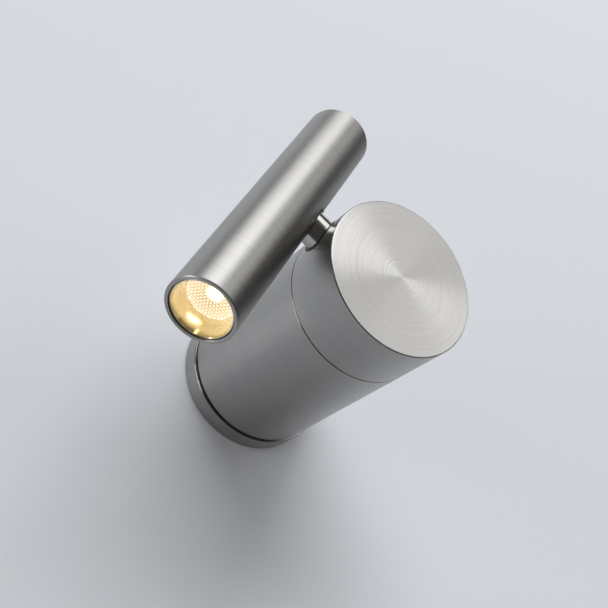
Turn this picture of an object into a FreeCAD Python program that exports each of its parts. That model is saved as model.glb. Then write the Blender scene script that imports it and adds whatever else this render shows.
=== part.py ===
import FreeCAD, Part
import math
import os

# Wall light: a round body stands straight out of a wall plate, its front part turns,
# and a short stem carries a slim spot tube that swivels. Millimetres, +Z up.
# The row frame has its origin on the wall, at the middle of the wall plate's back face.
# -Y points out of the wall, and +X is to the right of a person who faces the wall.

Vector = FreeCAD.Vector
os.makedirs("parts", exist_ok=True)

# ---- driving dimensions, in mm -------------------------------------------------------
body_d = 60.0            # the round body and the turning head
plate_d = 61.5           # wall plate
plate_depth = 8.8        # wall plate, out of the wall
shadow_gap = 0.75        # black line between the wall plate and the body
seam_out = 81.0          # middle of the hairline between the body and the head, from the wall
seam_gap = 0.3
front_out = 106.2        # flat front face, from the wall
stem_out = 92.0          # stem axis, from the wall
stem_d = 12.5
spot_d = 25.0            # slim spot tube
spot_gap = 4.0           # nearest distance from the head to the spot tube
spot_front = 69.4        # from the stem axis to the lens end of the spot tube
spot_rear = 52.0         # from the stem axis to the rear end
stem_angle = 147.3       # direction of the stem, from +X towards +Z, as it is stored
spot_tilt = 9.2          # lens end, turned away from the wall, as it is stored

bush_d = 14.8            # black bushes round the stem
bush_proud = 0.2
edge_break = 0.3         # turned outer edges
fine_break = 0.15        # edges on both sides of the seam
recess_depth = 8.0       # from the rim of the spot tube to its lens

wall_slot_spacing = 40.0
wall_slot_w = 4.5
wall_slot_l = 8.5
cable_d = 8.0            # cable entry through the grommet

# ---- fits and small hardware ---------------------------------------------------------
run_fit = 0.05           # radial clearance of a turning fit
seat_fit = 0.05          # radial clearance of a fixed fit
face_fit = 0.05          # axial clearance between turning faces
m3_r = 1.5
m3_clear_r = 1.6
m3_head_r = 2.75
m3_head_h = 2.0
m3_sink = 1.7            # depth of a countersunk head
past = 1.0               # how far a cutter runs past a face
across = 60.0            # a cutter that runs right across a piece
hex_circle = 2 / math.sqrt(3)    # corner radius of a hexagon of half width 1

# ---- worked out ----------------------------------------------------------------------
body_r = body_d / 2
plate_r = plate_d / 2
stem_r = stem_d / 2
bush_r = bush_d / 2
spot_r = spot_d / 2
spot_out = body_r + spot_gap + spot_r      # axis of the spot tube, from the main axis
body_wall = 2.0
body_bore = body_r - body_wall
body_rear = plate_depth + shadow_gap
body_front = seam_out - seam_gap / 2
head_rear = seam_out + seam_gap / 2
head_wall = 2.5
head_bore = body_r - head_wall
head_face = 3.0                            # thickness of the flat front
spot_wall = 1.3
spot_bore = spot_r - spot_wall
inner_r = spot_bore - seat_fit             # what fits inside the spot tube

# wall plate and what is on it
floor = 3.0
blind = 0.6                                # left under a blind hole
grommet_r = 7.0
grommet_lip_r = 9.0
grommet_lip = 1.5
earth_y = -17.0
earth_tag_thick = 0.8
terminal_y = 13.5
terminal_half_w = 11.0
terminal_half_d = 4.5
terminal_top = 13.0
terminal_seat = terminal_top - 3.0         # under the head of its screw
terminal_bore = 1.7
pole_x = 5.5
pole_screw_y = 2.3
wire_z = 8.0
wire_r = 1.0
plate_bore = 28.6
boss_at = 22.3
boss_r = 3.2
boss_top = 6.3
boss_angles = (90, 210, 330)
spigot_r = body_bore - 0.1
spigot_bore = 25.5
spigot_flange_r = body_r - 0.8
spigot_front = 20.0
grub_out = 15.0

# swivel between the body and the head, along the main axis
bulk_front = body_front - 1.0
bulk_thick = 7.5
bulk_rear = bulk_front - bulk_thick
nipple_r = 5.0
nipple_bore = 3.6
nipple_rear = 63.0
nipple_front = 89.0
collar_r = 6.5
swivel_bush_r = 7.0
friction_r = 15.0
plate_thick = 3.0                          # head back plate
plate_front = head_rear + plate_thick
nut_af = 14.0
nut_h = 4.0
stop_thick = 1.5
stop_washer_r = 11.0
stop_pin_at = 17.5
stop_lug_half = 2.0
disc_spring_h = 0.95
disc_spring_thick = 0.5
locknut_rear = bulk_rear - face_fit - stop_thick - disc_spring_h - nut_h
pin_depth = 5.5                            # pins and pillars in the bulkhead
pin_stand = 3.4                            # the stop pin, out of the bulkhead

# driver in the body
pillar_at = 23.3
pillar_h = 10.0
sheet = 1.2
tray_front = bulk_rear - pillar_h
tray_rear = tray_front - sheet
tray_half = 13.5
tongue_rear = 24.0
driver_half_w = 17.0
driver_h = 22.0
driver_rear = 26.0
driver_front = 57.0
push_in = 2.5                              # how far a lead goes into the driver
lead_y = 3.0                               # the driver's mains terminals
strap_low = 39.0
strap_high = 44.0
strap_thick = 0.8

# head, made with its stem along +X
head_boss_at = 23.0
head_boss_r = 3.0
head_boss_angles = (60, 180, 300)
head_screw_l = 11.0
anchor_half = 9.0
anchor_h = 17.0
anchor_screw_x = 17.75
anchor_screw_y = 6.4
anchor_screw_l = 8.5

# stem, from the main axis outwards
anchor_in = 13.0
shoulder = 22.5
spigot_in = 9.0
stem_thread_r = 5.0
stem_bore = 2.4
neck_r = 4.5
shank_end = spot_out - 10.0
neck_end = spot_out - 0.2
lead_r = 1.5
lead_joint = 0.2                           # leads end this far short of a turning piece
head_lead_bend = 6.0
bush_flange_r = 9.5
bush_flange_in = 24.4
clip_in = -2.1                             # retaining clip, from the axis of the spot tube
clip_thick = 1.0
clip_groove_r = 3.8

# spot tube, from the stem axis towards the lens
cap_set_back = 0.2
cap_length = 5.8
cap_ring_r = 0.45
bezel_r = 10.85
bezel_front = spot_front - 0.6
lens_face = spot_front - recess_depth
lens_r = 9.15
lens_edge = 3.0
holder_front = lens_face - lens_edge - 0.8
seal_bore = 8.3
chip_window = 4.6
board_front = 48.4
board_rear = board_front - 1.6
pad_rear = board_rear - 0.5
sink_rear = 22.0
block_half = 9.0
block_flat = -3.2                          # inner flat of the pivot block
seat = -9.2                                # bottom of the pocket round the stem
spot_lead_at = 8.0
spot_lead_r = 1.2
spot_lead_bend = 5.0
led_screw_y = 7.6
led_screw_r = 0.95
led_board_r = 10.0
fin_count = 12
fin_core_r = 5.0
sink_flange = 4.0

OUT = Vector(0, 0, 1)                      # out of the wall, while a piece is being made
SIDE = Vector(1, 0, 0)                     # along the stem
ORIGIN = Vector(0, 0, 0)


# ---- small shapes ----------------------------------------------------------------------
def rod(radius, low, high, x=0.0, y=0.0):
    """A round bar along the main axis, from low to high."""
    return Part.makeCylinder(radius, high - low, Vector(x, y, low), OUT)


def side_rod(radius, low, high):
    """A round bar along the stem, from low to high."""
    return Part.makeCylinder(radius, high - low, Vector(low, 0, stem_out), SIDE)


def ring(outer, inner, low, high, x=0.0, y=0.0):
    return rod(outer, low, high, x, y).cut(rod(inner, low - past, high + past, x, y))


def turned(profile):
    """A lathe-turned solid from (radius, height) corners."""
    corners = [Vector(radius, 0, height) for radius, height in profile]
    outline = Part.makePolygon(corners + corners[:1])
    return Part.Face(outline).revolve(ORIGIN, OUT, 360)


def block(x0, x1, y0, y1, z0, z1):
    return Part.makeBox(x1 - x0, y1 - y0, z1 - z0, Vector(x0, y0, z0))


def hexagon(width, low, high, x=0.0, y=0.0):
    """A hexagonal bar, width across its flats."""
    radius = width / 2 * hex_circle
    turns = [math.radians(60 * step) for step in range(7)]
    corners = [Vector(x + radius * math.cos(t), y + radius * math.sin(t), low) for t in turns]
    return Part.Face(Part.makePolygon(corners)).extrude(Vector(0, 0, high - low))


def polar(distance, angle):
    turn = math.radians(angle)
    return distance * math.cos(turn), distance * math.sin(turn)


def lead(points, radius, bend):
    """A wire's tube along straight runs that are joined by tangent arcs of one radius."""
    edges = []
    start = points[0]
    for before, corner, after in zip(points, points[1:], points[2:]):
        back = (before - corner).normalize()
        ahead = (after - corner).normalize()
        half = back.getAngle(ahead) / 2
        reach = bend / math.tan(half)
        middle = (back + ahead).normalize() * (bend / math.sin(half) - bend)
        arc_start = corner + back * reach
        arc_end = corner + ahead * reach
        edges.append(Part.LineSegment(start, arc_start).toShape())
        edges.append(Part.Arc(arc_start, corner + middle, arc_end).toShape())
        start = arc_end
    edges.append(Part.LineSegment(start, points[-1]).toShape())
    path = Part.Wire(edges)
    circle = Part.Circle(points[0], points[1] - points[0], radius).toShape()
    return path.makePipeShell([Part.Wire([circle])], True, False)


def pan_screw(x, y, tip, face):
    """A screw along the main axis: its shank reaches tip, and its head sits on face."""
    side = 1 if face > tip else -1
    shank = Part.makeCylinder(m3_r - seat_fit, abs(face - tip), Vector(x, y, tip), OUT * side)
    head = Part.makeCylinder(m3_head_r, m3_head_h, Vector(x, y, face), OUT * side)
    socket_r = 1.1
    socket_at = Vector(x, y, face + side * m3_head_h / 2)
    recess = Part.makeCylinder(socket_r, m3_head_h, socket_at, OUT * side)
    return shank.fuse(head).cut(recess).removeSplitter()


def flush_screw(x, y, face, length):
    """A countersunk screw that enters face towards +Z."""
    socket_af = 2.0
    socket_depth = 1.2
    shank = rod(m3_r - seat_fit, face, face + length, x, y)
    head = Part.makeCone(m3_head_r, m3_r - seat_fit, m3_sink, Vector(x, y, face), OUT)
    recess = hexagon(socket_af, face - past, face + socket_depth, x, y)
    return shank.fuse(head).cut(recess).removeSplitter()


def sink_hole(x, y, face, depth):
    """The hole that a flush screw sits in."""
    hole = rod(m3_clear_r, face - past, face + depth, x, y)
    wide = m3_head_r + seat_fit
    cone = Part.makeCone(wide, m3_r, m3_sink + seat_fit, Vector(x, y, face), OUT)
    return hole.fuse(cone)


# ---- where a piece goes ------------------------------------------------------------------
def on_wall(shape):
    """From the making frame, where +Z is out of the wall, to the row frame."""
    placed = shape.copy()
    placed.rotate(ORIGIN, SIDE, 90)
    return placed


def on_head(shape):
    """A head piece is made with its stem along +X."""
    placed = shape.copy()
    placed.rotate(ORIGIN, OUT, stem_angle)
    return on_wall(placed)


def on_spot(shape):
    """A spot piece is made with its lens towards +Z and the stem coming in from -X."""
    placed = shape.copy()
    placed.rotate(ORIGIN, SIDE, spot_tilt - 90)
    placed.translate(Vector(spot_out, 0, stem_out))
    return on_head(placed)


def save(node, shape):
    solids = shape.Solids
    whole = solids[0] if len(solids) == 1 else Part.makeCompound(solids)
    whole.exportStep("parts/" + node + ".step")
    print(node, len(solids), "solids", round(shape.Volume), "mm3", shape.isValid())


# ---- wall side -----------------------------------------------------------------------------
def wall_plate():
    plate = turned([
        (0, 0), (plate_r - edge_break, 0), (plate_r, edge_break),
        (plate_r, plate_depth - edge_break), (plate_r - edge_break, plate_depth),
        (plate_bore, plate_depth), (plate_bore, floor), (0, floor)])
    for angle in boss_angles:
        x, y = polar(boss_at, angle)
        plate = plate.fuse(rod(boss_r, floor, boss_top, x, y))
    places = [polar(boss_at, angle) for angle in boss_angles]
    for x, y in places + [(0, earth_y), (0, terminal_y)]:
        plate = plate.cut(rod(m3_r, blind, boss_top + past, x, y))
    plate = plate.cut(rod(grommet_r + seat_fit, -past, floor + past))
    for side in (-1, 1):
        plate = plate.cut(slot_cutter(side * wall_slot_spacing / 2))
    return plate.removeSplitter()


def slot_cutter(x):
    half = wall_slot_l / 2 - wall_slot_w / 2
    radius = wall_slot_w / 2
    low = -past
    high = floor + past
    ends = rod(radius, low, high, x - half).fuse(rod(radius, low, high, x + half))
    return ends.fuse(block(x - half, x + half, -radius, radius, low, high))


def cable_grommet():
    """Rubber lip in the plate's hole, so the supply cable doesn't touch a metal edge."""
    lip_top = floor + grommet_lip
    set_back = 0.2
    round_off = 0.4
    return turned([
        (cable_d / 2, set_back), (grommet_r, set_back), (grommet_r, floor),
        (grommet_lip_r, floor), (grommet_lip_r, lip_top - round_off),
        (grommet_lip_r - round_off, lip_top), (cable_d / 2, lip_top)])


def spigot_ring():
    """Black ring screwed to the wall plate. Its flange is the shadow line, and the body slides
    over its barrel."""
    lead_in = 1.0
    barrel = turned([
        (spigot_bore, boss_top), (spigot_r, boss_top), (spigot_r, spigot_front - lead_in),
        (spigot_r - lead_in, spigot_front), (spigot_bore, spigot_front)])
    inside = rod(spigot_r, boss_top, plate_depth)
    places = [polar(boss_at, angle) for angle in boss_angles]
    for x, y in places:
        lug = rod(boss_r + 0.6, boss_top, plate_depth, x, y)
        barrel = barrel.fuse(lug.common(inside))
    barrel = barrel.fuse(ring(spigot_flange_r, spigot_bore, plate_depth, body_rear))
    for x, y in places:
        barrel = barrel.cut(rod(m3_clear_r, 0, plate_depth, x, y))
    for cutter in grub_holes(m3_r):
        barrel = barrel.cut(cutter)
    return barrel.removeSplitter()


def grub_holes(radius):
    """Two set screw holes, on the right and on top, where the light hides them."""
    inside = spigot_bore - 5
    along_x = Part.makeCylinder(radius, body_r, Vector(inside, 0, grub_out), Vector(1, 0, 0))
    along_y = Part.makeCylinder(radius, body_r, Vector(0, inside, grub_out), Vector(0, 1, 0))
    return [along_x, along_y]


def grub_screws():
    screws = []
    inner = spigot_bore + 0.3
    outer = body_r - 0.4
    socket = 1.5
    for angle in (0, 90):
        screw = rod(m3_r - seat_fit, inner, outer)
        screw = screw.cut(hexagon(socket, outer - socket, outer + past))
        screw.rotate(ORIGIN, Vector(0, 1, 0), 90)
        screw.rotate(ORIGIN, OUT, angle)
        screw.translate(Vector(0, 0, grub_out))
        screws.append(screw)
    return Part.makeCompound(screws)


def plate_screws():
    places = [polar(boss_at, angle) for angle in boss_angles]
    tip = 2 * blind
    return Part.makeCompound([pan_screw(x, y, tip, plate_depth) for x, y in places])


def terminal_block():
    body = block(-terminal_half_w, terminal_half_w, terminal_y - terminal_half_d,
                 terminal_y + terminal_half_d, floor, terminal_top)
    body = round_uprights(body, 0.8)
    front = Vector(0, 1, 0)
    for x in (-pole_x, pole_x):
        mouth = Vector(x, terminal_y - terminal_half_d - past, wire_z)
        body = body.cut(Part.makeCylinder(terminal_bore, 2 * terminal_half_d + 2 * past, mouth, front))
    for x, y in pole_screw_places():
        body = body.cut(rod(terminal_bore, wire_z, terminal_top + past, x, y))
    body = body.cut(rod(m3_clear_r, 0, terminal_top + past, 0, terminal_y))
    return body.cut(rod(m3_head_r + 0.25, terminal_seat, terminal_top + past, 0, terminal_y))


def round_uprights(shape, radius):
    """Round the edges that run along the main axis."""
    uprights = []
    for edge in shape.Edges:
        low = edge.Vertexes[0].Point
        high = edge.Vertexes[-1].Point
        if math.hypot(low.x - high.x, low.y - high.y) < 1e-6:
            uprights.append(edge)
    return shape.makeFillet(radius, uprights)


def pole_screw_places():
    sides = (-pole_screw_y, pole_screw_y)
    return [(x, terminal_y + side) for x in (-pole_x, pole_x) for side in sides]


def terminal_screws():
    low = wire_z + 1.4
    high = terminal_top - 0.6
    groove_half = 0.3
    groove_depth = 0.8
    screws = []
    for x, y in pole_screw_places():
        screw = rod(terminal_bore - seat_fit, low, high, x, y)
        groove = block(x - terminal_bore, x + terminal_bore, y - groove_half, y + groove_half,
                       high - groove_depth, high + past)
        screws.append(screw.cut(groove))
    return Part.makeCompound(screws)


def earth_tag():
    """Brass ring tag with a crimp barrel for the earth core."""
    top = floor + earth_tag_thick
    barrel_r = 1.6
    barrel_x = 4.5
    barrel_l = 7.0
    centre = Vector(barrel_x, earth_y, floor + barrel_r)
    tag = rod(2 * m3_clear_r, floor, top, 0, earth_y)
    neck = block(2, barrel_x + 1, earth_y - 1.2, earth_y + 1.2, floor, top)
    barrel = Part.makeCylinder(barrel_r, barrel_l, centre, SIDE)
    hollow = Part.makeCylinder(barrel_r - 0.5, barrel_l, centre + SIDE * 1.5, SIDE)
    tag = tag.fuse(neck).fuse(barrel).cut(hollow)
    return tag.cut(rod(m3_clear_r, 0, top + past, 0, earth_y))


# ---- body ------------------------------------------------------------------------------------
def body_tube():
    tube = turned([
        (body_bore, body_rear), (body_r - fine_break, body_rear), (body_r, body_rear + fine_break),
        (body_r, body_front - fine_break), (body_r - fine_break, body_front),
        (body_bore, body_front)])
    for cutter in grub_holes(m3_clear_r):
        tube = tube.cut(cutter)
    return tube


def stop_pin_place():
    return polar(stop_pin_at, stem_angle + 180)


def front_bulkhead():
    """Thick disc pressed into the front of the body, which carries the swivel."""
    disc_r = body_bore - seat_fit
    chamfer = 0.5
    disc = turned([
        (0, bulk_rear), (disc_r - chamfer, bulk_rear), (disc_r, bulk_rear + chamfer),
        (disc_r, bulk_front - chamfer), (disc_r - chamfer, bulk_front), (0, bulk_front)])
    disc = disc.cut(rod(swivel_bush_r, bulk_rear - past, bulk_front + past))
    for x, y in [stop_pin_place(), (-pillar_at, 0), (pillar_at, 0)]:
        disc = disc.cut(rod(m3_r, bulk_rear - past, bulk_rear + pin_depth + 0.5, x, y))
    return disc


def swivel_bush():
    return ring(swivel_bush_r, nipple_r + run_fit, bulk_rear, bulk_front)


def friction_washer():
    """Fibre ring between the bulkhead and the head: it holds the head where it is put."""
    return ring(friction_r, collar_r + 0.5, bulk_front, head_rear - face_fit)


def stop_pin():
    x, y = stop_pin_place()
    return rod(m3_r, bulk_rear - pin_stand, bulk_rear + pin_depth, x, y)


def driver_pillars():
    pillars = []
    across_flats = 5.0
    for x in (-pillar_at, pillar_at):
        pillar = hexagon(across_flats, tray_front, bulk_rear, x)
        pillar = pillar.fuse(rod(m3_r - seat_fit, bulk_rear - past, bulk_rear + pin_depth, x))
        pillar = pillar.cut(rod(m3_r, tray_front - past, tray_front + pillar_h / 2 + past, x))
        pillars.append(pillar)
    return Part.makeCompound(pillars)


def driver_tray():
    """Folded sheet bracket: a base across the pillars and a tongue that carries the driver."""
    nut_window = 9.5
    base = block(-body_r, body_r, -tray_half, tray_half, tray_rear, tray_front)
    base = base.common(rod(body_bore - 0.6, tray_rear, tray_front))
    base = base.cut(rod(nut_window, tray_rear - past, tray_front + past))
    tongue = block(-driver_half_w, driver_half_w, -tray_half - sheet, -tray_half,
                   tongue_rear, tray_front)
    tray = base.fuse(tongue)
    for x in (-pillar_at, pillar_at):
        tray = tray.cut(rod(m3_clear_r, tray_rear - past, tray_front + past, x))
    return tray.removeSplitter()


def tray_screws():
    tip = tray_front + pillar_h / 2
    return Part.makeCompound([pan_screw(x, 0, tip, tray_rear) for x in (-pillar_at, pillar_at)])


def driver_module():
    """Constant-current supply in a plastic case, with a row of push-in terminals at each end."""
    low = -tray_half
    top = low + driver_h
    case = block(-driver_half_w, driver_half_w, low, top, driver_rear, driver_front)
    case = round_uprights(case, 1.5)
    for x in (-pole_x, pole_x):
        case = case.cut(rod(wire_r + 0.3, driver_rear - past, driver_rear + push_in + 0.5, x, lead_y))
    case = case.cut(rod(lead_r + 0.2, driver_front - push_in - 0.5, driver_front + past))
    return case.cut(lid_line(top - 3))


def lid_line(y):
    """The fine groove between the driver's case and its lid."""
    half = 0.2
    deep = 0.4
    outer = block(-across, across, y - half, y + half, driver_rear, driver_front)
    inner_half = driver_half_w - deep
    core = block(-inner_half, inner_half, y - past, y + past, driver_rear + deep, driver_front - deep)
    return outer.cut(core)


def driver_strap():
    """Band that ties the driver to the tray's tongue."""
    low = -tray_half - sheet - seat_fit
    high = -tray_half + driver_h + seat_fit
    half = driver_half_w + seat_fit
    inner = block(-half, half, low, high, strap_low - past, strap_high + past)
    outer = block(-half - strap_thick, half + strap_thick, low - strap_thick, high + strap_thick,
                  strap_low, strap_high)
    return outer.cut(inner)


def mains_leads():
    leads = []
    start_y = terminal_y + terminal_half_d - push_in
    rise_y = boss_at
    cross_z = spigot_front
    for x in (-pole_x, pole_x):
        route = [Vector(x, start_y, wire_z), Vector(x, rise_y, wire_z), Vector(x, rise_y, cross_z),
                 Vector(x, lead_y, cross_z), Vector(x, lead_y, driver_rear + push_in)]
        leads.append(lead(route, wire_r, 3 * wire_r))
    return Part.makeCompound(leads)


def driver_lead():
    return rod(lead_r, driver_front - push_in, nipple_rear - lead_joint)


# ---- head, made with its stem along +X ----------------------------------------------------------
def head_cup():
    """The visible turned head: a cup with a flat front, a hole for the stem, and three posts."""
    inner_face = front_out - head_face
    cup = turned([
        (head_bore, head_rear), (body_r - fine_break, head_rear), (body_r, head_rear + fine_break),
        (body_r, front_out - edge_break), (body_r - edge_break, front_out), (0, front_out),
        (0, inner_face), (head_bore, inner_face)])
    for angle in head_boss_angles:
        x, y = polar(head_boss_at, angle)
        cup = cup.fuse(rod(head_boss_r, plate_front, inner_face + past, x, y))
        cup = cup.cut(rod(m3_r, plate_front - past, plate_front + head_screw_l, x, y))
    return cup.cut(side_rod(bush_r, shoulder, across)).removeSplitter()


def head_back_plate():
    plate = rod(head_bore - 0.1, head_rear, plate_front)
    plate = plate.cut(rod(nipple_r + seat_fit, head_rear - past, plate_front + past))
    for x, y in head_screw_places() + anchor_screw_places():
        plate = plate.cut(sink_hole(x, y, head_rear, plate_thick + past))
    return plate


def head_screw_places():
    return [polar(head_boss_at, angle) for angle in head_boss_angles]


def anchor_screw_places():
    return [(anchor_screw_x, side * anchor_screw_y) for side in (-1, 1)]


def head_screws():
    places = head_screw_places()
    return Part.makeCompound([flush_screw(x, y, head_rear, head_screw_l) for x, y in places])


def anchor_screws():
    places = anchor_screw_places()
    return Part.makeCompound([flush_screw(x, y, head_rear, anchor_screw_l) for x, y in places])


def swivel_nipple():
    """Hollow spindle: its collar bears on the back plate, and the lead runs through it."""
    collar_rear = bulk_front + 2 * face_fit
    return turned([
        (nipple_bore, nipple_rear), (nipple_r, nipple_rear), (nipple_r, collar_rear),
        (collar_r, collar_rear), (collar_r, head_rear), (nipple_r, head_rear),
        (nipple_r, nipple_front), (nipple_bore, nipple_front)])


def nut(low):
    """Hexagon nut with its corners turned off towards the front."""
    hole = rod(nipple_r + seat_fit, low - past, low + nut_h + past)
    half = nut_af / 2
    crown = Part.makeCone(half + nut_h, half, nut_h + 0.5, Vector(0, 0, low), OUT)
    return hexagon(nut_af, low, low + nut_h).common(crown).cut(hole)


def stop_washer():
    """Washer keyed to the spindle. Its lug meets the stop pin after 165 degrees each way."""
    front = bulk_rear - face_fit
    rear = front - stop_thick
    washer = rod(stop_washer_r, rear, front)
    lug = block(0, stop_pin_at + m3_r, -stop_lug_half, stop_lug_half, rear, front)
    hole = rod(nipple_r + seat_fit, rear - past, front + past)
    return washer.fuse(lug).cut(hole).removeSplitter()


def disc_spring(inner, outer, low, high, thick):
    """Cone-shaped spring washer, which loads a swivel's friction faces."""
    return turned([(inner, low), (outer, high - thick), (outer, high), (inner, low + thick)])


def swivel_spring():
    front = bulk_rear - face_fit - stop_thick
    rear = front - disc_spring_h
    return disc_spring(nipple_r + 0.2, nut_af / 2 + 1.5, rear, front, disc_spring_thick)


def stem_anchor():
    """Block on the back plate that clamps the stem's inner end."""
    anchor = block(anchor_in, shoulder, -anchor_half, anchor_half,
                   plate_front, plate_front + anchor_h)
    anchor = round_uprights(anchor, 1.0)
    anchor = anchor.cut(side_rod(stem_thread_r + seat_fit, 0, across))
    top = head_rear + anchor_screw_l + 0.5
    for x, y in anchor_screw_places():
        anchor = anchor.cut(rod(m3_r, plate_front - past, top, x, y))
    return anchor


def along_stem(profile):
    """A lathe-turned solid about the stem axis, from (radius, distance from main axis)."""
    shape = turned(profile)
    shape.rotate(ORIGIN, Vector(0, 1, 0), 90)
    shape.translate(Vector(0, 0, stem_out))
    return shape


def stem():
    """Turned stem: thread in the anchor, visible shank, and a neck that the spot turns on."""
    groove_in = spot_out + clip_in - face_fit
    groove_out = groove_in + clip_thick + 2 * face_fit
    return along_stem([
        (stem_bore, spigot_in), (stem_thread_r, spigot_in), (stem_thread_r, shoulder),
        (stem_r, shoulder), (stem_r, shank_end), (neck_r, shank_end),
        (neck_r, groove_in), (clip_groove_r, groove_in),
        (clip_groove_r, groove_out), (neck_r, groove_out),
        (neck_r, neck_end - edge_break), (neck_r - edge_break, neck_end), (stem_bore, neck_end)])


def stem_nut():
    """Round nut with two flats, on the stem's thread inside the head."""
    low = spigot_in + 0.5
    nut_r = 7.0
    flat = 6.0
    shape = along_stem([
        (stem_thread_r + seat_fit, low), (nut_r, low), (nut_r, anchor_in),
        (stem_thread_r + seat_fit, anchor_in)])
    room = block(0, across, -flat, flat, plate_front, front_out)
    return shape.common(room)


def head_stem_bush():
    """Black bush in the head's wall. Its outer end follows the round of the head."""
    end = body_r + bush_proud
    hole = side_rod(stem_r + seat_fit, shoulder, across)
    outer = side_rod(bush_r - seat_fit, bush_flange_in, across)
    outer = outer.common(rod(end, head_rear, front_out))
    flange = side_rod(bush_flange_r, bush_flange_in, body_r)
    flange = flange.common(rod(head_bore - seat_fit, plate_front + 0.1, front_out))
    return outer.fuse(flange).cut(hole).removeSplitter()


def head_lead():
    route = [Vector(0, 0, nipple_rear + lead_joint), Vector(0, 0, stem_out),
             Vector(neck_end, 0, stem_out)]
    return lead(route, lead_r, head_lead_bend)


def pivot_spring():
    near = spot_out + block_flat + face_fit
    far = spot_out + clip_in
    inner = neck_r + 0.15
    outer = 6.8
    rise = disc_spring_thick
    return along_stem([(inner, near), (outer, far - rise), (outer, far), (inner, near + rise)])


def pivot_clip():
    """Open ring that snaps into the neck's groove."""
    near = spot_out + clip_in
    far = near + clip_thick
    inner = clip_groove_r + seat_fit
    outer = clip_groove_r + 2.5
    mouth = 1.5
    clip = along_stem([(inner, near), (outer, near), (outer, far), (inner, far)])
    return clip.cut(block(0, across, -mouth, mouth, stem_out, front_out))


# ---- spot, made with its lens towards +Z and the stem coming in from -X ----------------------------
def cross_rod(radius, low, high):
    """A round bar about the stem axis, in the spot's making frame."""
    return Part.makeCylinder(radius, high - low, Vector(low, 0, 0), SIDE)


def spot_tube():
    tube = turned([
        (spot_bore, -spot_rear), (spot_r - edge_break, -spot_rear),
        (spot_r, edge_break - spot_rear), (spot_r, spot_front - edge_break),
        (spot_r - edge_break, spot_front), (spot_bore, spot_front)])
    return tube.cut(cross_rod(bush_r, -across, 0))


def spot_stem_bush():
    """Black bush in the spot tube's wall. Its outer end follows the round of the tube."""
    bush = cross_rod(bush_r - seat_fit, -across, seat)
    bush = bush.common(rod(spot_r + bush_proud, -bush_r, bush_r))
    return bush.cut(cross_rod(stem_r + run_fit, -across, 0))


def pivot_block():
    """Half-round block pressed into the spot tube. The stem's neck turns in its bore."""
    shape = rod(inner_r, -block_half, block_half)
    shape = shape.cut(block(block_flat, across, -across, across, -across, across))
    shape = shape.cut(cross_rod(bush_r, -across, seat))
    return shape.cut(cross_rod(neck_r + run_fit, -across, 0))


def pivot_washer():
    """Friction washer under the stem's shoulder."""
    washer = cross_rod(stem_r - 2 * seat_fit, shank_end - spot_out + face_fit, seat)
    return washer.cut(cross_rod(neck_r + run_fit, -across, 0))


def rear_cap():
    """Plug in the rear end, with a groove for its ring."""
    plug = inner_r - seat_fit
    wall = 1.5
    face = cap_set_back - spot_rear
    end = face + cap_length
    groove_low = face + 2.8
    groove_high = groove_low + 2 * cap_ring_r + 0.5
    groove = plug - 0.9
    return turned([
        (0, face), (plug - edge_break, face), (plug, face + edge_break), (plug, groove_low),
        (groove, groove_low), (groove, groove_high), (plug, groove_high), (plug, end),
        (plug - wall, end), (plug - wall, face + wall), (0, face + wall)])


def cap_ring():
    """Rubber ring that grips the tube."""
    middle = cap_set_back - spot_rear + 3.5
    return Part.makeTorus(inner_r - cap_ring_r, cap_ring_r, Vector(0, 0, middle), OUT)


def lens_bezel():
    """Cone between the rim and the lens. It shades the lens and holds it in."""
    lip = lens_r - 0.5
    rim = 0.35
    bore = lens_r + seat_fit
    return turned([
        (bezel_r - rim, bezel_front), (bezel_r, bezel_front), (bezel_r, holder_front),
        (bore, holder_front), (bore, lens_face), (lip, lens_face)])


def lens():
    """Moulded clear lens: a flat front, a cone behind it, and a hollow over the chip."""
    behind = lens_face - lens_edge
    cone_top = lens_r - 1.15
    cone_end = board_front + 1.2
    hollow_r = 2.6
    hollow_end = cone_end + 3.4
    return turned([
        (0, lens_face), (lens_r, lens_face), (lens_r, behind), (cone_top, behind),
        (hollow_r + 0.7, cone_end), (hollow_r, cone_end), (hollow_r, hollow_end),
        (0, hollow_end + 0.6)])


def lens_seal():
    return ring(lens_r, seal_bore, holder_front, lens_face - lens_edge)


def led_screw_places():
    return [(0, -led_screw_y), (0, led_screw_y)]


def led_holder():
    """White ring on the board: it centres the lens over the chip and carries the bezel."""
    outer = inner_r - 0.4
    shape = turned([
        (chip_window, board_front), (outer, board_front), (outer, holder_front),
        (seal_bore, holder_front)])
    for x, y in led_screw_places():
        shape = shape.cut(rod(2 * led_screw_r + 0.3, board_front - past, board_front + 1.8, x, y))
    return shape


def led_disc(low, high):
    """Round board or pad with its two screw holes."""
    shape = rod(led_board_r, low, high)
    for x, y in led_screw_places():
        shape = shape.cut(rod(led_screw_r + 0.15, low - past, high + past, x, y))
    return shape


def led_board():
    return led_disc(board_rear, board_front)


def thermal_pad():
    hole = rod(spot_lead_r + 0.3, pad_rear - past, board_rear + past, spot_lead_at)
    return led_disc(pad_rear, board_rear).cut(hole)


def led_chip():
    """Chip package with its clear dome."""
    half = 1.75
    top = board_front + 0.7
    dome_r = 1.5
    case = block(-half, half, -half, half, board_front, top)
    dome = Part.makeSphere(dome_r, Vector(0, 0, top)).common(rod(half, board_front, top + half))
    return case.fuse(dome).removeSplitter()


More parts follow.
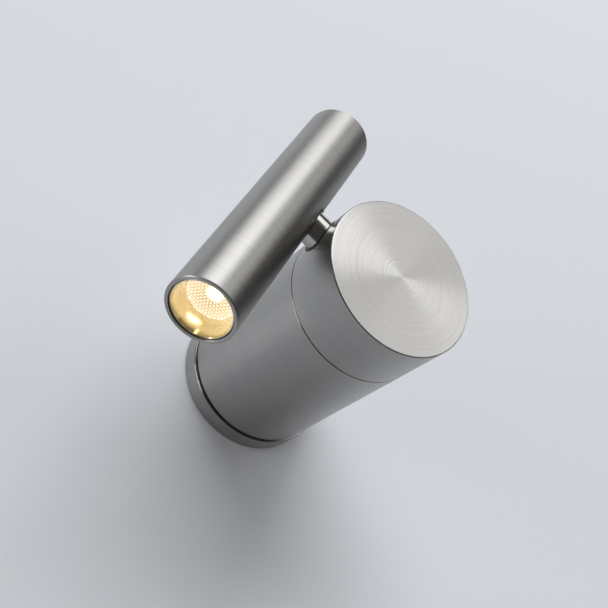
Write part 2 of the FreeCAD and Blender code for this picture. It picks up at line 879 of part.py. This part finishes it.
def heat_sink():
    """Finned aluminium core that carries the LED's heat to the tube."""
    groove_w = 1.4
    lead_groove_w = 3.2
    flange_rear = pad_rear - sink_flange
    shape = rod(inner_r, sink_rear, pad_rear)
    for step in range(fin_count):
        half = (groove_w if step else lead_groove_w) / 2
        groove = block(fin_core_r, across, -half, half, sink_rear - past, flange_rear)
        groove.rotate(ORIGIN, OUT, step * 360 / fin_count)
        shape = shape.cut(groove)
    for x, y in led_screw_places():
        shape = shape.cut(rod(led_screw_r + seat_fit, flange_rear + blind, pad_rear + past, x, y))
    hole = rod(spot_lead_r + 0.4, flange_rear - past, pad_rear + past, spot_lead_at)
    return shape.cut(hole)


def led_screws():
    head_h = 1.3
    screws = []
    for x, y in led_screw_places():
        shank = rod(led_screw_r, pad_rear - 3, board_front, x, y)
        head = rod(2 * led_screw_r, board_front, board_front + head_h, x, y)
        screws.append(shank.fuse(head).removeSplitter())
    return Part.makeCompound(screws)


def spot_lead():
    """Lead from the end of the stem's neck, past the heat sink, to the back of the board."""
    route = [Vector(lead_joint / 2, 0, 0), Vector(spot_lead_at, 0, 0),
             Vector(spot_lead_at, 0, board_rear)]
    return lead(route, spot_lead_r, spot_lead_bend)


# ---- write one file for each piece ------------------------------------------------------------------
wall_pieces = {
    "wall_plate": wall_plate(),
    "cable_grommet": cable_grommet(),
    "spigot_ring": spigot_ring(),
    "plate_screws": plate_screws(),
    "terminal_block": terminal_block(),
    "terminal_screws": terminal_screws(),
    "terminal_fixing": pan_screw(0, terminal_y, 2 * blind, terminal_seat),
    "earth_tag": earth_tag(),
    "earth_screw": pan_screw(0, earth_y, 2 * blind, floor + earth_tag_thick),
    "body_tube": body_tube(),
    "grub_screws": grub_screws(),
    "front_bulkhead": front_bulkhead(),
    "swivel_bush": swivel_bush(),
    "friction_washer": friction_washer(),
    "stop_pin": stop_pin(),
    "driver_pillars": driver_pillars(),
    "driver_tray": driver_tray(),
    "tray_screws": tray_screws(),
    "driver_module": driver_module(),
    "driver_strap": driver_strap(),
    "mains_leads": mains_leads(),
    "driver_lead": driver_lead(),
}
head_pieces = {
    "head_cup": head_cup(),
    "head_back_plate": head_back_plate(),
    "head_screws": head_screws(),
    "swivel_nipple": swivel_nipple(),
    "nipple_nut": nut(plate_front),
    "stop_washer": stop_washer(),
    "swivel_spring": swivel_spring(),
    "swivel_locknut": nut(locknut_rear),
    "stem_anchor": stem_anchor(),
    "anchor_screws": anchor_screws(),
    "stem": stem(),
    "stem_nut": stem_nut(),
    "head_stem_bush": head_stem_bush(),
    "head_lead": head_lead(),
    "pivot_spring": pivot_spring(),
    "pivot_clip": pivot_clip(),
}
spot_pieces = {
    "spot_tube": spot_tube(),
    "spot_stem_bush": spot_stem_bush(),
    "pivot_block": pivot_block(),
    "pivot_washer": pivot_washer(),
    "rear_cap": rear_cap(),
    "cap_ring": cap_ring(),
    "lens_bezel": lens_bezel(),
    "lens": lens(),
    "lens_seal": lens_seal(),
    "led_holder": led_holder(),
    "led_board": led_board(),
    "led_chip": led_chip(),
    "thermal_pad": thermal_pad(),
    "heat_sink": heat_sink(),
    "led_screws": led_screws(),
    "spot_lead": spot_lead(),
}
for node, shape in wall_pieces.items():
    save(node, on_wall(shape))
for node, shape in head_pieces.items():
    save(node, on_head(shape))
for node, shape in spot_pieces.items():
    save(node, on_spot(shape))
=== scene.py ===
# %% [markdown]
# # A tube wall light, dressed in Blender
# The light is a stubby steel cylinder on a wall plate. Its front third turns, and a short stem in the side of
# that turning head carries a slim spot tube with an LED lens at one end.
# The shapes come from a construction model, the frame. This lesson adds the camera, the light of the room, one
# finish for each material, and the one piece whose form is finer than the construction model: the domed lens.

# %% Load the frame
import math

import bmesh
import bpy
from mathutils import Euler, Matrix, Vector


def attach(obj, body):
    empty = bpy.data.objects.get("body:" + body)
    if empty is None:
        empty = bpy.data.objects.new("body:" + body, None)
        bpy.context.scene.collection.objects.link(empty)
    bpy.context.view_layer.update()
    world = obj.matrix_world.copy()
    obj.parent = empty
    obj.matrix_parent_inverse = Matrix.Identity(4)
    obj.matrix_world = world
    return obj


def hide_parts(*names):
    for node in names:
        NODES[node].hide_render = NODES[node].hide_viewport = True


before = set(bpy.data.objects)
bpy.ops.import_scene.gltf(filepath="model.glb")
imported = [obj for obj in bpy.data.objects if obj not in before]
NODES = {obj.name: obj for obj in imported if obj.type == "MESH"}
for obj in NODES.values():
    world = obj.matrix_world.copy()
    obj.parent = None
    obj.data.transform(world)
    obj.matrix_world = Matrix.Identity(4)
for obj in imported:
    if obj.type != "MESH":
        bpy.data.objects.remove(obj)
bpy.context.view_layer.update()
MM = 0.001

# %% [markdown]
# ## The camera
# The photograph was taken from below and from the left, about 45 cm from the light, so near things look larger.
# The place and the lens were found by fitting the body's seam and front edge, and the spot's outlines.

# %% Camera
FILM_WIDTH, LENS_LENGTH = 36.0, 63.03
EYE = Vector((-205.0, -362.6, -178.2)) * MM
LOOK_AZIMUTH, LOOK_ELEVATION = -32.625, -27.195
camera = bpy.data.objects.new("camera", bpy.data.cameras.new("camera"))
bpy.context.scene.collection.objects.link(camera)
camera.location = EYE
camera.rotation_euler = Euler((math.radians(90 - LOOK_ELEVATION), 0, math.radians(LOOK_AZIMUTH)))
camera.data.sensor_width = FILM_WIDTH
camera.data.lens = LENS_LENGTH
bpy.context.scene.camera = camera
print("camera at", [round(c, 3) for c in EYE])

# %% [markdown]
# ## Helpers for finishes
# Colours are written as sRGB hex, as a paint card gives them, and one function turns them to the linear values
# that the renderer adds up. A second small function adds a shader node with its settings and its links.

# %% Colour and node helpers
def colour(text):
    """sRGB hex to linear red, green, blue and an alpha of 1."""
    parts = [int(text[i:i + 2], 16) / 255 for i in (1, 3, 5)]
    return [c / 12.92 if c <= 0.04045 else ((c + 0.055) / 1.055) ** 2.4 for c in parts] + [1.0]


def add(tree, kind, sockets=None, **settings):
    """Adds a node. A socket's value may be a constant, or another node's output, which is linked."""
    node = tree.nodes.new(kind)
    for key, value in settings.items():
        setattr(node, key, value)
    for key, value in (sockets or {}).items():
        if isinstance(value, bpy.types.NodeSocket):
            tree.links.new(value, node.inputs[key])
        else:
            node.inputs[key].default_value = value
    return node


def new_material(name):
    """An empty material with its output, ready for a shader."""
    made = bpy.data.materials.new(name)
    made.use_nodes = True
    made.node_tree.nodes.clear()
    return made, made.node_tree, add(made.node_tree, "ShaderNodeOutputMaterial")


print("white paint is", [round(c, 3) for c in colour("#d6d7d9")])

# %% [markdown]
# ## The wall
# A pale, flat, matt wall. Only its front side shows: seen from behind it is clear, so that the back of the light
# can be looked at, and a hole hidden by the plate lets the room's light reach there. It is stage, not part of the
# object, and it keeps the light's soft shadow.

# %% Wall
WALL_R, HOLE_R, WALL_SIDES = 3.0, 0.028, 64
BEHIND_PLATE = 0.0002  # metres, so that the wall and the plate's back don't lie in one plane
WALL_GLOW = 0.08
turns = [math.tau * k / WALL_SIDES for k in range(WALL_SIDES)]
points = [(r * math.cos(t), BEHIND_PLATE, r * math.sin(t)) for r in (WALL_R, HOLE_R) for t in turns]
faces = []
for k in range(WALL_SIDES):
    after = (k + 1) % WALL_SIDES
    faces.append((k, after, WALL_SIDES + after, WALL_SIDES + k))
wall_mesh = bpy.data.meshes.new("wall")
wall_mesh.from_pydata(points, [], faces)
wall = bpy.data.objects.new("wall", wall_mesh)
bpy.context.scene.collection.objects.link(wall)
wall_paint, tree, out = new_material("wall_paint_matt")
paint = add(tree, "ShaderNodeBsdfPrincipled", {"Base Color": colour("#dde1e8"), "Roughness": 0.9})
# Part of the wall's brightness doesn't depend on the lamps. Metal and clear parts see it as the camera does.
ray = add(tree, "ShaderNodeLightPath")
seen = add(tree, "ShaderNodeMath", {0: ray.outputs["Is Camera Ray"], 1: ray.outputs["Is Glossy Ray"]}, operation="ADD")
seen = add(tree, "ShaderNodeMath", {0: seen.outputs[0], 1: ray.outputs["Is Transmission Ray"]}, operation="ADD",
           use_clamp=True)
glow = add(tree, "ShaderNodeMath", {0: seen.outputs[0], 1: WALL_GLOW}, operation="MULTIPLY")
backdrop = add(tree, "ShaderNodeEmission", {"Color": colour("#f7fafe"), "Strength": glow.outputs[0]})
front = add(tree, "ShaderNodeAddShader", {0: paint.outputs[0], 1: backdrop.outputs[0]})
clear = add(tree, "ShaderNodeBsdfTransparent")
side = add(tree, "ShaderNodeNewGeometry").outputs["Backfacing"]
sides = add(tree, "ShaderNodeMixShader", {0: side, 1: front.outputs[0], 2: clear.outputs[0]})
tree.links.new(sides.outputs[0], out.inputs["Surface"])
wall_mesh.materials.append(wall_paint)
print("wall faces", wall_mesh.polygons[0].normal[:])

# %% [markdown]
# ## The light of the room
# Metal shows its room more than its own colour. Here a soft box hangs above and in front, a fainter one stands to
# the right, and a bright, narrow strip stands at the left, close to the wall. The rest of the room is dim, which
# gives the steel its dark bands. Each lamp is set by how bright its face looks, so its size can change freely.

# %% Lamps and world
AIM = Vector((0, -60, 0)) * MM
ROOM_LIGHT = 0.075


def soft_box(name, azimuth, elevation, wide, high, brightness, distance=4.0):
    """A lamp that fills wide by high degrees of the object's view, at an azimuth and elevation in degrees."""
    a, e = math.radians(azimuth), math.radians(elevation)
    back = Vector((math.sin(a) * math.cos(e), -math.cos(a) * math.cos(e), math.sin(e)))
    data = bpy.data.lights.new(name, "AREA")
    data.shape = "RECTANGLE"
    data.size = 2 * distance * math.tan(math.radians(wide / 2))
    data.size_y = 2 * distance * math.tan(math.radians(high / 2))
    data.energy = brightness * math.pi * data.size * data.size_y
    lamp = bpy.data.objects.new(name, data)
    lamp.location = AIM + back * distance
    lamp.rotation_euler = Euler((math.pi / 2 - e, 0, a))
    bpy.context.scene.collection.objects.link(lamp)
    print(name, "at", [round(c, 2) for c in lamp.location], round(data.energy, 1), "W")


soft_box("box_above", -7.0, 46.8, 46.7, 43.0, 4.5)
soft_box("box_right", 38.0, 24.9, 31.0, 37.0, 1.65)
soft_box("strip_left", -84.8, -4.0, 9.6, 33.0, 12.5)
world = bpy.data.worlds.new("room")
world.use_nodes = True
bpy.context.scene.world = world
world.node_tree.nodes["Background"].inputs["Color"].default_value = colour("#fff6ee")
world.node_tree.nodes["Background"].inputs["Strength"].default_value = ROOM_LIGHT
bpy.context.scene.view_settings.view_transform = "Standard"
print(len(bpy.data.lights), "lamps")

# %% [markdown]
# ## Satin steel, brushed round its axis
# Every outer shell was turned and then brushed in the lathe, so its fine grooves are circles round the axis.
# Grooves reflect like tiny bars: a highlight stays narrow along them and spreads wide across them. That gives
# bright bands that run the length of the tubes, and a bow-tie on the flat front.
# One material works for side, face and chamfer, because the direction of the grooves comes from the axis alone.
# The marks drawn here are wider than real ones, which are too fine to see, so that the brushing shows at all.

# %% Turned metal
MARK_WIDTH, MARK_LENGTH, MARK_RELIEF = 0.8, 60.0, 0.03  # mm, mm, and the bump's strength
ROUGHNESS_CHANGE = 0.015
EDGE_ROUND = 0.35


def turned_metal(name, point, axis, tint, dark_tint, roughness, spread):
    """Metal brushed round an axis through a point. spread is how much wider highlights get across the marks."""
    made, tree, out = new_material(name)

    def vec(operation, *values):
        node = add(tree, "ShaderNodeVectorMath", dict(enumerate(values)), operation=operation)
        return node.outputs["Value" if operation in ("DOT_PRODUCT", "LENGTH") else "Vector"]

    coords = add(tree, "ShaderNodeTexCoord")
    from_axis = vec("SUBTRACT", coords.outputs["Object"], tuple(point))
    along = vec("DOT_PRODUCT", from_axis, tuple(axis))
    on_axis = add(tree, "ShaderNodeVectorMath", {0: tuple(axis), "Scale": along}, operation="SCALE").outputs[0]
    outward = vec("SUBTRACT", from_axis, on_axis)
    radius = vec("LENGTH", outward)
    radial = vec("NORMALIZE", outward)
    groove = vec("CROSS_PRODUCT", tuple(axis), radial)
    across = vec("CROSS_PRODUCT", groove, coords.outputs["Normal"])
    tangent = add(tree, "ShaderNodeVectorTransform", {"Vector": across}, vector_type="VECTOR",
                  convert_from="OBJECT", convert_to="WORLD").outputs[0]
    # A brush mark is a thin arc: fine steps along the profile, slow change round the circle.
    profile = add(tree, "ShaderNodeMath", {0: along, 1: radius}, operation="ADD").outputs[0]
    step = add(tree, "ShaderNodeMath", {0: profile, 1: 1 / (MARK_WIDTH * MM)}, operation="MULTIPLY").outputs[0]
    steps = add(tree, "ShaderNodeVectorMath", {0: tuple(axis), "Scale": step}, operation="SCALE").outputs[0]
    arcs = add(tree, "ShaderNodeVectorMath", {0: outward, "Scale": 1 / (MARK_LENGTH * MM)},
               operation="SCALE").outputs[0]
    marks = vec("ADD", steps, arcs)
    lines = add(tree, "ShaderNodeTexNoise", {"Vector": marks, "Scale": 1.0, "Detail": 3.0, "Roughness": 0.7})
    tone = add(tree, "ShaderNodeMix", {"Factor": lines.outputs["Fac"], 6: colour(dark_tint), 7: colour(tint)},
               data_type="RGBA")
    rough = add(tree, "ShaderNodeMapRange", {"Value": lines.outputs["Fac"], "From Min": 0.3, "From Max": 0.7,
                "To Min": roughness - ROUGHNESS_CHANGE, "To Max": roughness + ROUGHNESS_CHANGE})
    # A brushed edge is never sharp: its tiny round catches a thin line of light.
    edge = add(tree, "ShaderNodeBevel", {"Radius": EDGE_ROUND * MM}, samples=6).outputs[0]
    bump = add(tree, "ShaderNodeBump", {"Height": lines.outputs["Fac"], "Strength": MARK_RELIEF, "Distance": 0.1 * MM,
               "Normal": edge})
    metal = add(tree, "ShaderNodeBsdfPrincipled", {
        "Base Color": tone.outputs[2], "Metallic": 1.0, "Roughness": rough.outputs[0], "Anisotropic": spread,
        "Normal": bump.outputs[0], "Tangent": tangent})
    tree.links.new(metal.outputs[0], out.inputs["Surface"])
    return made


# The stem stands square to the body's axis, and the spot turns about the stem at the pivot.
STEM_TURN, SPOT_TILT = math.radians(147.3), math.radians(9.2)
STEM_AXIS = Vector((math.cos(STEM_TURN), 0, math.sin(STEM_TURN)))
STEM_FROM_WALL, SPOT_FROM_AXIS = 92.0, 46.5
PIVOT = Vector((0, -STEM_FROM_WALL, 0)) * MM + STEM_AXIS * SPOT_FROM_AXIS * MM
level = Vector((0, -1, 0))
across_stem = level.cross(STEM_AXIS)
SPOT_AXIS = (across_stem * math.cos(SPOT_TILT) + level * math.sin(SPOT_TILT)).normalized()
print("stem axis", [round(c, 4) for c in STEM_AXIS], "spot axis", [round(c, 4) for c in SPOT_AXIS])


def dress(material, *names):
    """Gives every slot of these nodes the material."""
    for name in names:
        for slot in NODES[name].material_slots:
            slot.material = material


STEEL, STEEL_DARK = "#aeadab", "#959492"
body_steel = turned_metal("steel_brushed_round_body", (0, 0, 0), (0, -1, 0), STEEL, STEEL_DARK, 0.25, 0.89)
dress(body_steel, "wall_plate", "body_tube", "head_cup")
spot_steel = turned_metal("steel_brushed_round_spot", PIVOT, SPOT_AXIS, STEEL, STEEL_DARK, 0.43, 0.69)
dress(spot_steel, "spot_tube")
cap_steel = turned_metal("steel_turned_cap", PIVOT, SPOT_AXIS, STEEL, STEEL_DARK, 0.43, 0.69)
dress(cap_steel, "rear_cap")
stem_steel = turned_metal("steel_turned_stem", PIVOT, STEM_AXIS, "#b8b7b4", "#aeadaa", 0.2, 0.8)
dress(stem_steel, "stem")

# %% [markdown]
# ## The lens
# Behind the rim sits a moulded acrylic lens: a cone that gathers the chip's light, and a flat front covered in
# small domes, packed like a honeycomb, that even the beam out. The construction model has that front flat.
# Here the whole lens is turned as rings of points, and the front rings are lifted to the nearest dome's height.

# %% Lens mesh
SPOT_ACROSS = SPOT_AXIS.cross(STEM_AXIS)
SPOT_TURN = Matrix((STEM_AXIS, SPOT_ACROSS, SPOT_AXIS)).transposed().to_4x4()
SPOT_PLACE = Matrix.Translation(PIVOT) @ SPOT_TURN
LENS_FACE, LENS_R, DOMED_R, EDGE_DEPTH = 61.4, 9.15, 8.5, 0.25
DOME_PITCH, DOME_R = 1.3, 1.0


def dome_height(x, y):
    """How far below the domes' tops the front lies at x, y, all in mm. The domes are packed in a honeycomb."""
    u, v = x / DOME_PITCH, y / DOME_PITCH
    row_gap = math.sqrt(0.75)
    near = 1.0
    for row in (math.floor(v / row_gap), math.floor(v / row_gap) + 1):
        offset = 0.5 * (row % 2)
        du = u - offset - round(u - offset)
        near = min(near, math.hypot(du, v - row * row_gap))
    away = min(near * DOME_PITCH, DOME_R)
    return math.sqrt(DOME_R ** 2 - away ** 2) - DOME_R


def spun(name, profile, segments, body, lift):
    """Turns a profile of (radius, height) in mm into a closed mesh. lift(x, y) moves the front's points."""
    mesh = bmesh.new()
    rows = []
    for radius, height in profile:
        count = segments if radius > 0 else 1
        row = []
        for k in range(count):
            angle = math.tau * k / segments
            x, y = radius * math.cos(angle), radius * math.sin(angle)
            z = height + (lift(x, y) if height >= LENS_FACE else 0.0)
            row.append(mesh.verts.new(Vector((x, y, z)) * MM))
        rows.append(row)
    for near, far in zip(rows, rows[1:]):
        for k in range(segments):
            ring = [near[k % len(near)], near[(k + 1) % len(near)], far[(k + 1) % len(far)], far[k % len(far)]]
            ring = list(dict.fromkeys(ring))
            if len(ring) > 2:
                mesh.faces.new(ring)
    mesh.transform(SPOT_PLACE)
    bmesh.ops.recalc_face_normals(mesh, faces=mesh.faces)
    data = bpy.data.meshes.new(name)
    mesh.to_mesh(data)
    mesh.free()
    piece = bpy.data.objects.new(name, data)
    bpy.context.scene.collection.objects.link(piece)
    data.shade_smooth()
    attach(piece, body)
    return piece


def front_height(x, y):
    """Domes up to the edge, which is a plain flat ring."""
    return dome_height(x, y) if math.hypot(x, y) < DOMED_R else -EDGE_DEPTH


RINGS, SEGMENTS, STEP_WIDTH = 60, 320, 0.02
front = [(DOMED_R * k / RINGS, LENS_FACE) for k in range(RINGS)] + [(DOMED_R + STEP_WIDTH, LENS_FACE)]
behind = [(LENS_R, LENS_FACE - 0.1), (LENS_R, LENS_FACE - 3), (8.0, LENS_FACE - 3), (3.3, 49.6), (2.6, 49.6),
          (2.6, 53.0), (0, 53.6)]
lens = spun("lens_domed", front + behind, SEGMENTS, "spot", front_height)
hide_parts("lens")
print("lens has", len(lens.data.polygons), "faces")

# %% [markdown]
# ## Lit acrylic, with painted highlights
# The lens glows warm white: its glow stands for the chip's light coming through, and the pattern in it is painted.
# Each dome's crown, which faces along the spot, is painted nearly white, as if it sent the light straight out, and
# the valleys between, as if they sent it sideways, are painted golden. Near the middle a painted hot spot makes all
# of it bright. It sits a little beside the middle, because the photograph looks in from one side, so it is a painted
# highlight fixed on the lens.

# %% Lit lens material
lit, tree, out = new_material("acrylic_moulded_painted_glow")
coords = add(tree, "ShaderNodeTexCoord")
# Painted highlight: the lens is painted brightest round this point, a little beside the middle.
PAINTED_HOT_SPOT = PIVOT - SPOT_ACROSS * 1.6 * MM
HOT_R, HOT_END_R = 1.4, 3.4
HOT, GOLDEN, PAINTED_GLINT_MORE = 7.0, 0.6, 0.62
CROWN_FROM, CROWN_FULL = 0.88, 0.97  # how squarely the surface looks along the spot's axis
from_middle = add(tree, "ShaderNodeVectorMath", {0: coords.outputs["Object"], 1: tuple(PAINTED_HOT_SPOT)},
                  operation="SUBTRACT").outputs[0]


def part_along(vector, axis):
    """How far a vector reaches along an axis."""
    return add(tree, "ShaderNodeVectorMath", {0: vector, 1: tuple(axis)}, operation="DOT_PRODUCT").outputs["Value"]


flat_place = add(tree, "ShaderNodeCombineXYZ", {0: part_along(from_middle, STEM_AXIS),
                 1: part_along(from_middle, SPOT_ACROSS)}).outputs[0]
off_middle = add(tree, "ShaderNodeVectorMath", {0: flat_place}, operation="LENGTH").outputs["Value"]
# Painted highlight: surfaces that face along the spot's axis are painted brighter and whiter.
painted_crown_glint = add(tree, "ShaderNodeMapRange", {"Value": part_along(coords.outputs["Normal"], SPOT_AXIS),
            "From Min": CROWN_FROM, "From Max": CROWN_FULL}, interpolation_type="SMOOTHSTEP").outputs[0]
valley = add(tree, "ShaderNodeMapRange", {"Value": off_middle, "From Min": HOT_R * MM, "From Max": HOT_END_R * MM,
             "To Min": HOT, "To Max": GOLDEN}, interpolation_type="SMOOTHSTEP").outputs[0]
painted_dot_glints = add(tree, "ShaderNodeMapRange", {"Value": painted_crown_glint, "To Min": 0.0, "To Max": PAINTED_GLINT_MORE}).outputs[0]
strength = add(tree, "ShaderNodeMath", {0: valley, 1: painted_dot_glints}, operation="ADD").outputs[0]
glow = add(tree, "ShaderNodeMix", {"Factor": painted_crown_glint, 6: colour("#ffcf66"), 7: colour("#fff4dc")},
           data_type="RGBA").outputs[2]
acrylic = add(tree, "ShaderNodeBsdfPrincipled", {
    "Base Color": colour("#4a3f28"), "Roughness": 0.06, "IOR": 1.49, "Emission Color": glow,
    "Emission Strength": strength})
tree.links.new(acrylic.outputs[0], out.inputs["Surface"])
lens.data.materials.append(lit)

# %% Cone round the lens
# The cone is turned aluminium and really reflects the lit lens. Its tint is also painted golden and bright, as painted
# light from the lens.
cone_metal_painted_warm = turned_metal("aluminium_cone_painted_lens_light", PIVOT, SPOT_AXIS, "#efe3c4", "#e3d7b8", 0.12, 0.5)
dress(cone_metal_painted_warm, "lens_bezel")

# %% [markdown]
# ## Everything else
# The rest is mostly inside, yet each piece keeps the surface that its making leaves. One recipe covers them: two
# close tints mixed by a noise about as fine as the grain, roughness that follows it, and a little relief.
# A stretched noise stands for marks with a direction, such as extrusion or milling lines.

# %% Recipe for grained surfaces
def grained(name, tints, grain, roughness, metallic=0.0, ior=1.5, relief=0.02, stretch=(1, 1, 1), detail=3.0, **more):
    """grain is the size of one grain in mm, roughness the lowest and highest, relief the grain's height in mm."""
    made, tree, out = new_material(name)
    coords = add(tree, "ShaderNodeTexCoord")
    scale = [1 / (grain * MM * s) for s in stretch]
    placed = add(tree, "ShaderNodeMapping", {"Vector": coords.outputs["Object"], "Scale": scale})
    noise = add(tree, "ShaderNodeTexNoise", {"Vector": placed.outputs[0], "Scale": 1.0, "Detail": detail})
    tint = add(tree, "ShaderNodeValToRGB", {"Fac": noise.outputs["Fac"]})
    for element, place, text in zip(tint.color_ramp.elements, (0.35, 0.65), tints):
        element.position, element.color = place, colour(text)
    rough = add(tree, "ShaderNodeMapRange", {"Value": noise.outputs["Fac"], "From Min": 0.3, "From Max": 0.7,
                "To Min": roughness[0], "To Max": roughness[1]})
    bump = add(tree, "ShaderNodeBump", {"Height": noise.outputs["Fac"], "Strength": 0.5, "Distance": relief * MM})
    sockets = {"Base Color": tint.outputs[0], "Roughness": rough.outputs[0], "Metallic": metallic,
               "Normal": bump.outputs[0]}
    if not metallic:
        sockets["IOR"] = ior
    shader = add(tree, "ShaderNodeBsdfPrincipled", {**sockets, **more})
    tree.links.new(shader.outputs[0], out.inputs["Surface"])
    return made


# %% [markdown]
# ## Black trim
# The ring that makes the shadow line is aluminium, black anodised: the dye sits in a hard matt oxide, so it
# reflects little and evenly. Its black also stands in for the shade deep in that gap. The bushes round the stem are
# moulded acetal with a fine eroded texture. Their black is partly painted shade, for the dark gaps where the stem goes
# into the head and the spot.

# %% Black ring, bushes and rubber
# Painted shade: the ring's black stands partly for the shade in the shadow gap.
dress(grained("aluminium_black_anodised_gap_shade", ("#141415", "#1b1b1c"), 0.3, (0.38, 0.5), relief=0.004), "spigot_ring")
# Painted shade: the bushes' black stands partly for the dark gaps round the stem.
dress(grained("acetal_black_painted_gap_shade", ("#121212", "#191919"), 0.4, (0.42, 0.58), ior=1.48, relief=0.01),
      "head_stem_bush", "spot_stem_bush")
dress(grained("rubber_black_moulded", ("#161616", "#1f1f1e"), 0.6, (0.6, 0.8), ior=1.52, relief=0.02),
      "cable_grommet", "cap_ring")

# %% [markdown]
# ## Small metal parts
# Screws, nuts and pressed plates are zinc plated: bright, slightly blue and slightly uneven. Springs are darker
# steel under oil. Bushes, pillars and the spindle are turned brass, and the blocks are machined aluminium.

# %% Zinc, spring steel, brass and aluminium
ZINC = ("plate_screws terminal_screws terminal_fixing earth_screw grub_screws driver_tray tray_screws head_back_plate"
        " head_screws nipple_nut stop_washer swivel_locknut anchor_screws stem_nut stop_pin led_screws").split()
dress(grained("steel_zinc_plated", ("#c3c6cc", "#cfcfca"), 2.0, (0.22, 0.36), metallic=1.0, relief=0.004), *ZINC)
dress(grained("spring_steel_oiled", ("#77777a", "#8a8a8a"), 0.5, (0.25, 0.4), metallic=1.0, stretch=(1, 1, 6)),
      "swivel_spring", "pivot_spring", "pivot_clip")
dress(grained("brass_turned", ("#d8b26a", "#e2c07c"), 0.25, (0.2, 0.34), metallic=1.0, stretch=(8, 1, 8)),
      "earth_tag", "swivel_bush", "driver_pillars", "swivel_nipple")
dress(grained("aluminium_machined", ("#d3d5d7", "#dfe0e1"), 0.4, (0.28, 0.42), metallic=1.0, stretch=(12, 1, 1)),
      "front_bulkhead", "stem_anchor", "pivot_block", "heat_sink")

# %% [markdown]
# ## Plastics, fibre and leads
# The terminal block, driver case and LED holder are white moulded plastic. The washers are pressed red fibre,
# the strap is black nylon, the leads have a smooth extruded sheath, and the seal and pad are soft silicone.

# %% Plastics, fibre, silicone and board
dress(grained("nylon_white_moulded", ("#dcdbd6", "#e6e5e0"), 0.5, (0.4, 0.55), ior=1.53, relief=0.01),
      "terminal_block", "driver_module", "led_holder")
dress(grained("fibre_red_pressed", ("#6e3026", "#8a4132"), 0.3, (0.65, 0.85), stretch=(4, 1, 1), detail=5.0),
      "friction_washer", "pivot_washer")
dress(grained("nylon_black_strap", ("#1b1b1c", "#262627"), 0.4, (0.4, 0.55), ior=1.53, relief=0.02), "driver_strap")
dress(grained("sheath_white_extruded", ("#d6d4ce", "#dfddd8"), 0.8, (0.35, 0.5), stretch=(1, 8, 1), relief=0.006),
      "mains_leads", "driver_lead", "head_lead", "spot_lead")
dress(grained("silicone_grey_moulded", ("#bdbdbb", "#c9c9c7"), 0.6, (0.5, 0.65), ior=1.41, relief=0.01),
      "lens_seal", "thermal_pad")
dress(grained("board_white_mask", ("#e4e4df", "#ededea"), 0.5, (0.18, 0.28), ior=1.55, relief=0.004), "led_board")
dress(grained("phosphor_under_clear_dome", ("#f0c84a", "#f6d467"), 0.3, (0.12, 0.2), ior=1.41, relief=0.002,
              **{"Emission Color": colour("#ffdd95"), "Emission Strength": 3.0}), "led_chip")
print(len(bpy.data.materials), "materials")
